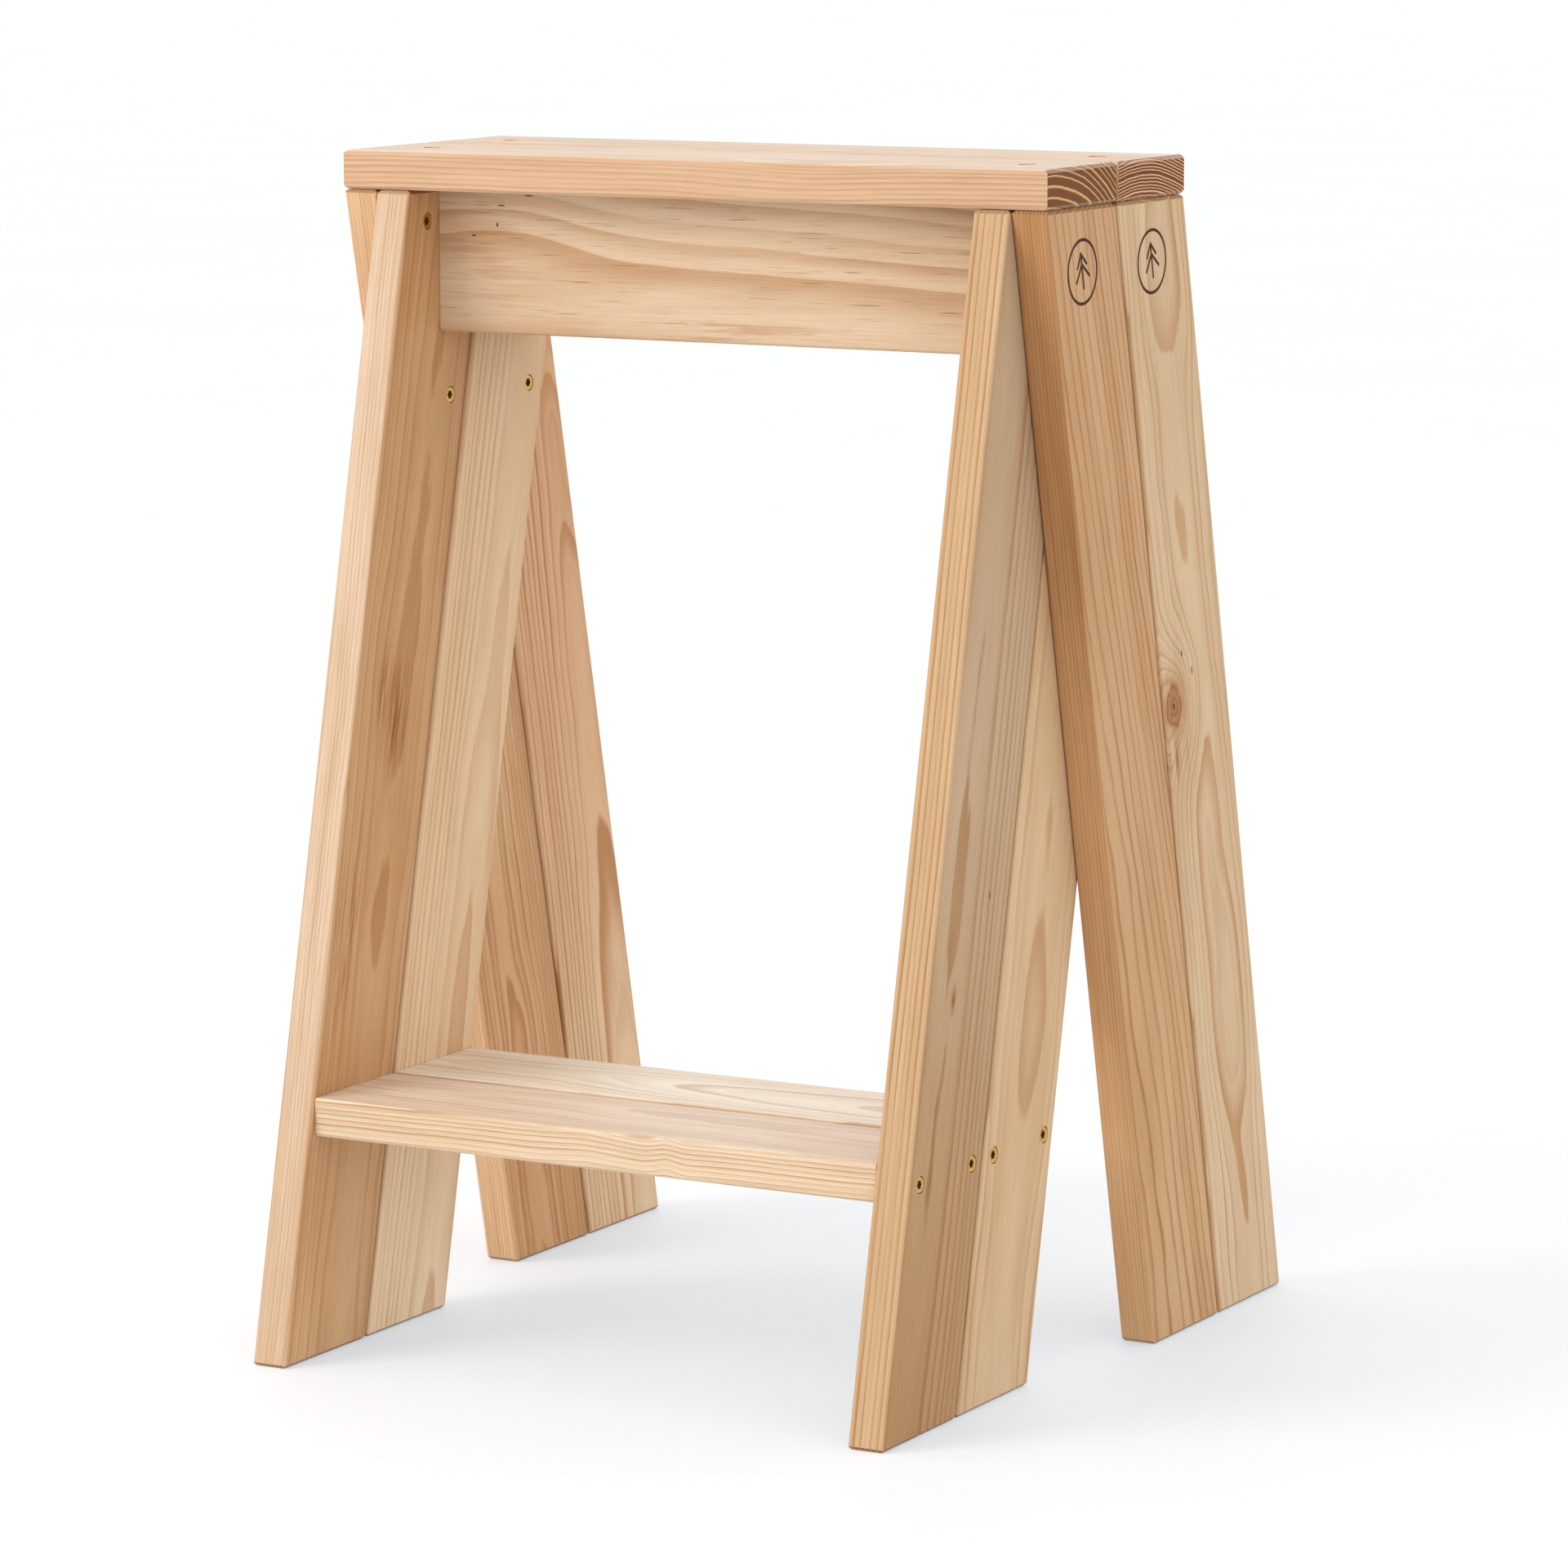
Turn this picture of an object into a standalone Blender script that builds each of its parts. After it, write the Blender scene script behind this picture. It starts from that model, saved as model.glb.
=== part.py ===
"""A nesting sawhorse: two identical A-frame trestles of planed softwood boards, one slid up against the other.

Units are metres. +Z is up and the floor is z = 0; x = 0 is the middle of the length, y = 0 the middle of the depth.
Each trestle is a seat plank on two pairs of crossed legs, with an apron on edge under the seat and a shelf near the
floor. The inner legs lean to the front and the outer legs to the back, so every board of the rear trestle lies behind
its twin in the front one, and the rear trestle slides straight back (+Y) until the two stand apart.
"""

import math

import bmesh
import bpy
from mathutils import Matrix, Vector

# Boards, all cut from one size of planed timber; the seat planks are a little wider
THICKNESS = 0.024
WIDTH = 0.089
SEAT_WIDTH = 0.0905
EDGE_ROUND = 0.0022
EDGE_SEGMENTS = 2
END_CHAMFER = 0.0022

# Overall sizes
LENGTH = 0.488
HEIGHT = 0.736
PITCH = 0.094
LEAN = math.atan(0.22)
SHELF_TOP = 0.163

# Clearance that touching pieces keep
GAP = 0.0003

# Countersunk screws with a six-lobed drive
HEAD_RADIUS = 0.005
HEAD_RIM = 0.0005
HEAD_CONE = 0.0028
SHANK_RADIUS = 0.0022
TIP_LENGTH = 0.006
HEAD_SINK = 0.0003
SHORT_SCREW = 0.045
LONG_SCREW = 0.060
DRIVE_RADIUS = 0.0025
DRIVE_VALLEY = 0.72
DRIVE_DEPTH = 0.0025
ROUND_STEPS = 12
CUTTER_PROUD = 0.002

# Where the screws stand, seen from the middle of their own trestle
LEG_SCREW_SPREAD = 0.025
LEG_SCREW_DROP = 0.020
LOW_SCREW_DROP = 0.130
APRON_SCREW_DROPS = (0.050, 0.076)
SHELF_SCREW_SPREAD = 0.033

# Planes that the boards share
SEAT_UNDERSIDE = HEIGHT - THICKNESS
LEG_TOP = SEAT_UNDERSIDE - GAP
LEG_SPAN = WIDTH / math.cos(LEAN)
OUTER_LEG_X = LENGTH / 2 - THICKNESS / 2
INNER_LEG_X = OUTER_LEG_X - THICKNESS - GAP
INNER_LEG_INSIDE = INNER_LEG_X - THICKNESS / 2
INNER_LEG_OUTSIDE = INNER_LEG_X + THICKNESS / 2
CROSS_BOARD_LENGTH = 2 * (INNER_LEG_INSIDE - GAP)
SHELF_SHIFT = -math.tan(LEAN) * (LEG_TOP - SHELF_TOP)

SIDES = {"left": -1, "right": 1}
TRESTLES = {"front": -PITCH / 2, "rear": PITCH / 2}

WOODS = {
    "seat": (0.70, 0.50, 0.32),
    "apron": (0.68, 0.48, 0.29),
    "shelf": (0.69, 0.48, 0.30),
    "inner_leg": (0.62, 0.41, 0.24),
    "outer_leg": (0.66, 0.45, 0.27),
}
WOOD_ROUGHNESS = 0.62
BRASS = (0.62, 0.43, 0.17)
BRASS_ROUGHNESS = 0.32


def clear_scene():
    for obj in list(bpy.data.objects):
        bpy.data.objects.remove(obj, do_unlink=True)


def new_collection(name):
    collection = bpy.data.collections.new(name)
    bpy.context.scene.collection.children.link(collection)
    return collection


def new_material(name, colour, roughness, metallic):
    material = bpy.data.materials.new(name)
    material.use_nodes = True
    shader = material.node_tree.nodes["Principled BSDF"]
    shader.inputs["Base Color"].default_value = (*colour, 1.0)
    shader.inputs["Roughness"].default_value = roughness
    shader.inputs["Metallic"].default_value = metallic
    material.diffuse_color = (*colour, 1.0)
    return material


def place(name, mesh, location, parent, collection):
    """Links a new object, with its location given in its parent's frame."""
    obj = bpy.data.objects.new(name, mesh)
    obj.location = location
    obj.parent = parent
    collection.objects.link(obj)
    return obj


def board_mesh(name, size, length_axis, eased_axes, material, lean=0.0):
    """A board centred on its origin, with rounded long edges; a lean shears it, which leaves its two ends level.

    The end edges of the faces that look along the eased axes are chamfered.
    """
    shear = Matrix.Identity(3)
    shear[1][2] = math.tan(lean)
    bm = bmesh.new()
    bmesh.ops.create_cube(bm, size=1.0, matrix=Matrix.Diagonal((*size, 1.0)))
    bmesh.ops.transform(bm, matrix=shear.to_4x4(), verts=bm.verts)
    axes = [shear @ axis for axis in Matrix.Identity(3)]
    along = axes[length_axis]
    long_edges = [edge for edge in bm.edges if is_parallel(edge, along)]
    bmesh.ops.bevel(
        bm, geom=long_edges, offset=EDGE_ROUND, segments=EDGE_SEGMENTS, profile=0.5, affect="EDGES"
    )
    for end in (-1, 1):
        for axis in eased_axes:
            for side in (-1, 1):
                chamfer_end(bm, size, axes, length_axis, end, axis, side)
    mesh = bpy.data.meshes.new(name)
    bm.to_mesh(mesh)
    bm.free()
    mesh.materials.append(material)
    return mesh


def is_parallel(edge, direction):
    way = edge.verts[1].co - edge.verts[0].co
    return way.cross(direction).length < 0.001 * way.length


def chamfer_end(bm, size, axes, length_axis, end, axis, side):
    """Cuts the edge between one end of a board and one of its four long faces."""
    other = 3 - length_axis - axis
    face_normal = axes[length_axis].cross(axes[other]).normalized()
    if face_normal.dot(axes[axis]) * side < 0:
        face_normal.negate()
    end_normal = Vector([float(i == length_axis) for i in range(3)]) * end
    edge = axes[length_axis] * end * size[length_axis] / 2 + axes[axis] * side * size[axis] / 2
    bmesh.ops.bisect_plane(
        bm,
        geom=bm.verts[:] + bm.edges[:] + bm.faces[:],
        plane_co=edge - axes[axis] * side * END_CHAMFER,
        plane_no=face_normal + end_normal,
        clear_outer=True,
    )
    bmesh.ops.holes_fill(bm, edges=[edge for edge in bm.edges if edge.is_boundary])


def screw_profile(length, clearance, top):
    """Half outline from the middle of the head down to the tip, grown outwards by the clearance."""
    rim = HEAD_RADIUS + clearance
    shank = SHANK_RADIUS + clearance
    return (
        (0.0, top),
        (rim, top),
        (rim, -HEAD_RIM),
        (shank, -HEAD_RIM - HEAD_CONE),
        (shank, TIP_LENGTH - length),
        (0.0, -length - clearance),
    )


def turned_object(name, profile, collection):
    """Turns a half outline about Z."""
    bm = bmesh.new()
    points = [bm.verts.new((radius, 0.0, z)) for radius, z in profile]
    for start, end in zip(points, points[1:]):
        bm.edges.new((start, end))
    mesh = bpy.data.meshes.new(name)
    bm.to_mesh(mesh)
    bm.free()
    obj = place(name, mesh, (0.0, 0.0, 0.0), None, collection)
    screw = obj.modifiers.new("turn", "SCREW")
    screw.steps = ROUND_STEPS
    screw.render_steps = ROUND_STEPS
    screw.use_merge_vertices = True
    screw.merge_threshold = 0.00001
    return obj


def drive_cutter(name, collection):
    """A six-lobed prism for the drive recess: a twelve-sided one with every second corner drawn in."""
    bm = bmesh.new()
    bmesh.ops.create_cone(
        bm,
        cap_ends=True,
        segments=ROUND_STEPS,
        radius1=DRIVE_RADIUS,
        radius2=DRIVE_RADIUS,
        depth=2 * DRIVE_DEPTH,
    )
    for vert in bm.verts:
        corner = round(math.atan2(vert.co.y, vert.co.x) * ROUND_STEPS / math.tau)
        if corner % 2:
            vert.co.x *= DRIVE_VALLEY
            vert.co.y *= DRIVE_VALLEY
    mesh = bpy.data.meshes.new(name)
    bm.to_mesh(mesh)
    bm.free()
    return place(name, mesh, (0.0, 0.0, 0.0), None, collection)


def cut(obj, cutter):
    boolean = obj.modifiers.new("cut_" + cutter.name, "BOOLEAN")
    boolean.operation = "DIFFERENCE"
    boolean.solver = "EXACT"
    boolean.object = cutter


def finished_mesh(obj):
    """The object's mesh with its modifiers applied; the object itself is removed."""
    bpy.context.view_layer.update()
    graph = bpy.context.evaluated_depsgraph_get()
    mesh = bpy.data.meshes.new_from_object(obj.evaluated_get(graph), depsgraph=graph)
    bpy.data.objects.remove(obj, do_unlink=True)
    return mesh


def screw_mesh(name, length, material, collection):
    body = turned_object(name, screw_profile(length, 0.0, 0.0), collection)
    drive = drive_cutter(name + "_drive", collection)
    cut(body, drive)
    mesh = finished_mesh(body)
    bpy.data.objects.remove(drive, do_unlink=True)
    mesh.name = name
    mesh.materials.append(material)
    mesh.shade_smooth()
    mesh.set_sharp_from_angle(angle=math.radians(30))
    return mesh


def hole_mesh(name, length, collection):
    body = turned_object(name, screw_profile(length, GAP, CUTTER_PROUD), collection)
    mesh = finished_mesh(body)
    mesh.name = name
    return mesh


class Screws:
    """Places screws with their holes: local -Z is the way a screw is driven."""

    def __init__(self, parts, cutters, material):
        self.parts = parts
        self.cutters = cutters
        self.meshes = {}
        self.holes = {}
        for length in (SHORT_SCREW, LONG_SCREW):
            label = f"screw_{round(length * 1000)}"
            self.meshes[length] = screw_mesh(label, length, material, parts)
            self.holes[length] = hole_mesh(label + "_hole", length, cutters)

    def drive(self, name, length, location, rotation, parent, boards):
        screw = place(name, self.meshes[length], location, parent, self.parts)
        screw.rotation_euler = rotation
        hole = place(name + "_hole", self.holes[length], location, parent, self.cutters)
        hole.rotation_euler = rotation
        hole.hide_render = True
        hole.display_type = "WIRE"
        for board in boards:
            cut(board, hole)


def facing(side):
    """The rotation that turns a screw's head to face along X, towards this side."""
    return (0.0, side * math.pi / 2, 0.0)


def build_leg(name, x, lean, material, parent, collection):
    size = (THICKNESS, LEG_SPAN, LEG_TOP)
    mesh = board_mesh(name, size, 2, (0, 1), material, lean)
    middle = -math.tan(lean) * LEG_TOP / 2
    return place(name, mesh, (x, middle, LEG_TOP / 2), parent, collection)


def build_trestle(label, shift, woods, screws, collection):
    trestle = place(label + "_trestle", None, (0.0, shift, 0.0), None, collection)

    seat = place(
        label + "_seat_plank",
        board_mesh(label + "_seat", (LENGTH, SEAT_WIDTH, THICKNESS), 0, (2,), woods["seat"]),
        (0.0, 0.0, HEIGHT - THICKNESS / 2),
        trestle,
        collection,
    )
    apron = place(
        label + "_apron",
        board_mesh(label + "_apron", (CROSS_BOARD_LENGTH, THICKNESS, WIDTH), 0, (), woods["apron"]),
        (0.0, 0.0, LEG_TOP - WIDTH / 2),
        trestle,
        collection,
    )
    shelf = place(
        label + "_shelf",
        board_mesh(label + "_shelf", (CROSS_BOARD_LENGTH, WIDTH, THICKNESS), 0, (), woods["shelf"]),
        (0.0, SHELF_SHIFT, SHELF_TOP - THICKNESS / 2),
        trestle,
        collection,
    )

    for side_name, side in SIDES.items():
        start = f"{label}_{side_name}_"
        inner = build_leg(
            start + "inner_leg", side * INNER_LEG_X, LEAN, woods["inner_leg"], trestle, collection
        )
        outer = build_leg(
            start + "outer_leg", side * OUTER_LEG_X, -LEAN, woods["outer_leg"], trestle, collection
        )
        fasten_seat(start, side, screws, trestle, (seat, inner))
        fasten_legs(start, side, screws, trestle, (inner, outer))
        fasten_apron(start, side, screws, trestle, (inner, apron))
        fasten_shelf(start, side, screws, trestle, (inner, shelf))
    return trestle


def fasten_seat(start, side, screws, trestle, boards):
    """One screw down through the seat into the end of the inner leg."""
    location = (side * INNER_LEG_X, 0.0, HEIGHT - HEAD_SINK)
    screws.drive(start + "seat_screw", LONG_SCREW, location, (0.0, 0.0, 0.0), trestle, boards)


def fasten_legs(start, side, screws, trestle, boards):
    """Three screws from the inside, two near the top and one low where the legs still cross."""
    x = side * (INNER_LEG_INSIDE + HEAD_SINK)
    spots = {
        "leg_screw_front": (-LEG_SCREW_SPREAD, LEG_SCREW_DROP),
        "leg_screw_back": (LEG_SCREW_SPREAD, LEG_SCREW_DROP),
        "leg_screw_low": (0.0, LOW_SCREW_DROP),
    }
    for name, (y, drop) in spots.items():
        location = (x, y, SEAT_UNDERSIDE - drop)
        screws.drive(start + name, SHORT_SCREW, location, facing(-side), trestle, boards)


def fasten_apron(start, side, screws, trestle, boards):
    """Two screws through the inner leg into the end of the apron, hidden behind the outer leg."""
    x = side * (INNER_LEG_OUTSIDE - HEAD_SINK)
    for name, drop in zip(("apron_screw_upper", "apron_screw_lower"), APRON_SCREW_DROPS):
        location = (x, 0.0, SEAT_UNDERSIDE - drop)
        screws.drive(start + name, LONG_SCREW, location, facing(side), trestle, boards)


def fasten_shelf(start, side, screws, trestle, boards):
    """Two screws through the inner leg into the end of the shelf."""
    x = side * (INNER_LEG_OUTSIDE - HEAD_SINK)
    z = SHELF_TOP - THICKNESS / 2
    middle = -math.tan(LEAN) * (LEG_TOP - z)
    for name, way in (("shelf_screw_front", -1), ("shelf_screw_back", 1)):
        location = (x, middle + way * SHELF_SCREW_SPREAD, z)
        screws.drive(start + name, LONG_SCREW, location, facing(side), trestle, boards)


def build_sawhorse():
    parts = new_collection("nesting_sawhorse")
    cutters = new_collection("screw_holes")
    cutters.hide_render = True
    woods = {
        kind: new_material("planed_pine_" + kind, colour, WOOD_ROUGHNESS, 0.0)
        for kind, colour in WOODS.items()
    }
    brass = new_material("brass", BRASS, BRASS_ROUGHNESS, 1.0)
    screws = Screws(parts, cutters, brass)
    for label, shift in TRESTLES.items():
        build_trestle(label, shift, woods, screws, parts)


clear_scene()
build_sawhorse()
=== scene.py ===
"""Looks of the nesting sawhorse: planed softwood, brass screws, a pale floor and studio light.

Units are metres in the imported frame: +X along the seats, +Y from the front trestle to the rear one, +Z up.
"""

import math

import bmesh
import bpy
from mathutils import Matrix, Vector


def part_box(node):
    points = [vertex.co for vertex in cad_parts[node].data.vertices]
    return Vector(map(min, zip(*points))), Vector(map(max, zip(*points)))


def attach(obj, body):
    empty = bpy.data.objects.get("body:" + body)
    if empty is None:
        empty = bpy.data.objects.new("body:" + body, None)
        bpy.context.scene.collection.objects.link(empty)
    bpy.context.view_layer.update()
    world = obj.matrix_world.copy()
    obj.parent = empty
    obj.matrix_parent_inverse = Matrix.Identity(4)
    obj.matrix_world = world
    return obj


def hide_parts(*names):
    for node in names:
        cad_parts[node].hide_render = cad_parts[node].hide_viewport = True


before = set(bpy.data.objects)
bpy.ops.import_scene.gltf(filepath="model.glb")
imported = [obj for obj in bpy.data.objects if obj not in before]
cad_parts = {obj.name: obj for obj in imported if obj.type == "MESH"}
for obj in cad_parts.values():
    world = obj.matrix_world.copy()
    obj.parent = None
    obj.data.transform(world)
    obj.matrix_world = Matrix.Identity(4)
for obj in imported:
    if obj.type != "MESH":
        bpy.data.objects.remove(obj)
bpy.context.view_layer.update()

MM = 0.001

# Boards
WIDTH = 0.089
LEAN = math.atan(0.22)
EDGE_ROUND = 0.0022
EDGE_SEGMENTS = 5
END_CHAMFER = 0.0022
SHARP_ANGLE = math.radians(35)
PARALLEL = 0.001

# Screws
HEAD_RADIUS = 0.005
HEAD_FLAT = 0.62
HEAD_CROWN = 0.93
HEAD_RIM = 0.0005
HEAD_CONE = 0.0028
HEAD_DISH = 0.0004
SHANK_RADIUS = 0.0022
TIP_LENGTH = 0.006
DRIVE_RADIUS = 0.0029
DRIVE_VALLEY = 0.78
DRIVE_DEPTH = 0.0025
HOLE_GAP = 0.0003
HOLE_PROUD = 0.002
ROUND_STEPS = 48
DRIVE_LOBES = 6

# Brass, and the drive recess, whose dark colour is partly grime and partly painted shade deep in the hole
BRASS_SCALE = (400.0, 400.0, 400.0)
BRASS_COLOURS = ((0.52, 0.29, 0.055), (0.75, 0.47, 0.12))
BRASS_ROUGHNESS = (0.3, 0.7, 0.28, 0.45)
GRIME_AND_SHADE_SCALE = (900.0, 900.0, 900.0)
GRIME_AND_SHADE_COLOURS = ((0.035, 0.016, 0.005), (0.16, 0.09, 0.028))
GRIME_AND_SHADE_ROUGHNESS = (0.3, 0.7, 0.5, 0.8)

# Camera
CAMERA_PLACE = (1.9030, -3.3920, 0.9511)
CAMERA_AZIMUTH = math.radians(29.511)
CAMERA_ELEVATION = math.radians(8.595)
CAMERA_ROLL = math.radians(-0.184)
CAMERA_LENS = 145.07
CAMERA_SENSOR = 36.0
CAMERA_SHIFT = (0.0297, -0.0201)

# Floor, world and light
FLOOR_SIZE = 160.0
FLOOR_CLOUD_SCALE = (1.5, 1.5, 1.5)
FLOOR_COLOURS = ((0.57, 0.457, 0.383), (0.59, 0.477, 0.403))
FLOOR_GLOW = (0.282, 0.417, 0.508, 1.0)
FLOOR_ROUGHNESS = 0.6
FLOOR_GLOSS = 0.1
WORLD_COLOUR = (1.0, 1.0, 1.0, 1.0)
WORLD_STRENGTH = 1.15
KEY_PLACE = (-2.2, -2.6, 2.4)
KEY_TARGET = (0.0, 0.0, 0.4)
KEY_SIZE = (1.8, 1.8)
KEY_POWER = 60.0


# ---------------------------------------------------------------- shader nodes


class Shader:
    """A material's node tree, written as nested calls: each method adds a node and returns its output."""

    def __init__(self, name):
        self.material = bpy.data.materials.new(name)
        self.material.use_nodes = True
        self.tree = self.material.node_tree
        self.surface = self.tree.nodes["Principled BSDF"]

    def add(self, kind, inputs, output=0, **settings):
        node = self.tree.nodes.new(kind)
        for key, value in settings.items():
            setattr(node, key, value)
        for key, value in inputs.items():
            self.feed(node.inputs[key], value)
        return node.outputs[output]

    def feed(self, socket, value):
        if isinstance(value, bpy.types.NodeSocket):
            self.tree.links.new(value, socket)
        elif value is not None:
            socket.default_value = value

    def math(self, operation, a, b=None, c=None):
        return self.add("ShaderNodeMath", {0: a, 1: b, 2: c}, operation=operation)

    def vector(self, operation, a, b=None):
        output = "Value" if operation in ("DOT_PRODUCT", "LENGTH") else "Vector"
        return self.add("ShaderNodeVectorMath", {0: a, 1: b}, output, operation=operation)

    def scaled(self, a, amount):
        return self.add("ShaderNodeVectorMath", {0: a, 3: amount}, operation="SCALE")

    def parts(self, vector):
        node = self.tree.nodes.new("ShaderNodeSeparateXYZ")
        self.feed(node.inputs[0], vector)
        return node.outputs[0], node.outputs[1], node.outputs[2]

    def join(self, x, y, z):
        return self.add("ShaderNodeCombineXYZ", {0: x, 1: y, 2: z})

    def step(self, value, low, high, start=0.0, end=1.0):
        """A smooth step from start at low to end at high."""
        inputs = {"Value": value, "From Min": low, "From Max": high, "To Min": start, "To Max": end}
        return self.add("ShaderNodeMapRange", inputs, interpolation_type="SMOOTHSTEP")

    def noise(self, place, scale, offset=(0.0, 0.0, 0.0), detail=2.0, roughness=0.5, colour=False):
        """Noise whose scale is given along each axis."""
        place = self.vector("ADD", self.vector("MULTIPLY", place, scale), offset)
        inputs = {"Vector": place, "Scale": 1.0, "Detail": detail, "Roughness": roughness}
        return self.add("ShaderNodeTexNoise", inputs, 1 if colour else 0)

    def random(self, value):
        return self.add("ShaderNodeTexWhiteNoise", {"W": value}, "Value", noise_dimensions="1D")

    def mix(self, factor, a, b, blend="MIX"):
        def colour(value):
            return (*value, 1.0) if isinstance(value, tuple) else value

        return self.add(
            "ShaderNodeMix",
            {0: factor, 6: colour(a), 7: colour(b)},
            2,
            data_type="RGBA",
            blend_type=blend,
        )

    def bump(self, height, distance):
        return self.add("ShaderNodeBump", {"Distance": distance, "Height": height})


# ---------------------------------------------------------------- wood

# Noise scales are in cycles per mm along a board's length, across its width and through its thickness.
# A range is (low, high) of a smooth step, or (low, high, value at low, value at high).
HALF = (0.5, 0.5, 0.5)
SEED_OFFSET = (17.3, 31.7, 7.9)

# Growth rings
DRIFT_SCALE = (0.004, 0.010, 0.010)
RIPPLE_SCALE = (0.015, 0.12, 0.12)
UNEVEN_SCALE = (0.4, 1.0, 1.0)

# Ring lines on the long faces
LATE_PEAK = 0.93
LATE_STOP = (0.95, 1.0, 1.0, 0.0)
LATE_SPREAD = 0.55
LATE_LEAST = 0.45
FINE_START = 0.3
FINE_SEED = 0.5
FADE_SCALE = (0.007, 0.03, 0.03)
FADE_RANGE = (0.3, 0.6, 0.65, 1.0)

# Colour of the clear wood
FACING_RANGE = (0.5, 0.9)
FOOT_RANGE = (50.0, -330.0)
EDGE_FOOT_RANGE = (250.0, -50.0)
YEARS_SCALE = (1.0, 0.004, 1.0)  # across the rings, then along the board
YEARS_PER_RING = 0.45
YEARS_SHARE = 0.55
CLOUD_SCALE = (0.006, 0.035, 0.035)
CLOUD_SHARE = 0.45
DEEP_RANGE = (0.40, 0.62)
PALE = (1.05, 1.05, 1.06)
DEEP = (0.84, 0.69, 0.53)

# Fibres and faults
FIBRE_SCALE = (0.02, 1.6, 1.6)
FIBRE_SHADE = (0.25, 0.75, 0.90, 1.08)
FIBRE_ROUGHNESS = (0.2, 0.8, 0.40, 0.52)
CANAL_SCALE = (0.05, 2.2, 2.2)
CANAL_RANGE = (0.66, 0.76)
CANAL_STRENGTH = 0.35
CANAL = (0.36, 0.19, 0.08)
CRACK_SCALE = (0.022, 1.3, 1.3)
CRACK_RANGE = (0.67, 0.74)
CRACK = (0.30, 0.15, 0.06)
STREAK_SCALE = (0.015, 0.25, 0.25)
STREAK_RANGE = (0.45, 0.6)
STREAK_DEPTH = 60.0
STREAK = (0.62, 0.38, 0.22)
SPECK_RANGE = (0.3, 0.6, 0.0, 0.9)
SPECK_DEPTH = 3.0
SPECK = (0.06, 0.022, 0.008)

# Knots; ranges are in knot radii
KNOT_BULGE = -0.16
KNOT_SCALE = (0.10, 0.16, 0.0)
KNOT_WOBBLE = 0.7
KNOT_RINGS = 0.45
KNOT_EARLY = (0.27, 0.10, 0.03)
KNOT_LATE = (0.42, 0.185, 0.065)
KNOT_HEART = (0.05, 0.018, 0.008)
KNOT_HEART_RANGE = (0.08, 0.24, 1.0, 0.0)
KNOT_HALO = (0.78, 0.60, 0.45)
KNOT_HALO_RANGE = (1.0, 2.2, 0.7, 0.0)
KNOT_RANGE = (0.85, 1.15, 0.9, 0.0)

# End grain
RAGGED_SCALE = (0.3, 1.8, 1.8)
RAGGED = 0.32
END_RISE = 0.18
END_STOP = (0.92, 1.0, 1.0, 0.0)
PORE_SCALE = (0.4, 3.0, 3.0)
PORE_SHADE = (0.3, 0.7, 0.72, 1.22)
CHAMFER_FACING = (0.5, 0.72, 0.0, 0.65)
END_FACING = (0.86, 0.97, 0.0, 0.35)

# Relief: its full height in metres, and the shares of the rings and the fibres in it
WOOD_BUMP = 0.00025
RING_HEIGHT = 0.6
FIBRE_HEIGHT = 0.5

WOOD = {
    # colour of the two wide faces; on the seats and the shelves it is whitened with painted sheen
    "face": (0.64, 0.45, 0.27),
    # colour of the two narrow faces
    "edge": (0.64, 0.45, 0.27),
    # colour of a leg's wide faces near the floor, where it differs; on the inner left legs it is painted
    # light below the shelf
    "foot": None,
    # colour of a leg's narrow faces lower down, where it differs
    "edge_foot": None,
    # how strong the deeper-coloured clouds are
    "tone": 0.7,
    # late wood's colour, as a share of the board's
    "late": (0.66, 0.47, 0.31),
    # where the pith line passes the board's middle, across and through
    "pith": (0.0, -80.0),
    # how fast the pith line moves across and through along the board
    "slope": (0.0, 0.0),
    # ring width
    "spacing": 3.0,
    # how fast rings get narrower outwards
    "growth": 0.0,
    # start of the first ring, in rings
    "phase": 0.0,
    # how much ring widths differ, in rings
    "uneven": 1.6,
    # how far the rings wander, across and through
    "drift": (4.0, 8.0),
    # how far the rings ripple
    "ripple": 1.0,
    # strength of the ring lines
    "contrast": 1.0,
    # strength of the lines on the narrow faces, as a share of that on the wide ones
    "edge_lines": 1.0,
    # strength of a second line in each ring
    "fine_rings": 0.3,
    # where late wood starts, as a share of a ring
    "late_start": 0.45,
    # strength of the fine drying cracks
    "cracks": 0.0,
    # brown of the end grain
    "end_early": (0.21, 0.075, 0.01),
    # pale lines of the end grain
    "end_late": (0.58, 0.33, 0.16),
    # where the end grain's pale line starts, as a share of a ring
    "end_share": 0.68,
    # specular level
    "gloss": 0.08,
    # (along, across, through, length, breadth, lift) of places where the rings bulge
    "swirls": (),
    # (along, across, radius, stretch, lift of the rings round it)
    "knots": (),
    # (along, across, through, length, width) of pinholes and pitch marks
    "specks": (),
    # (along, across, length, breadth, strength) of reddish streaks
    "streaks": (),
    # (along, across) of the burnt mark's middle
    "mark": None,
}

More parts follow.
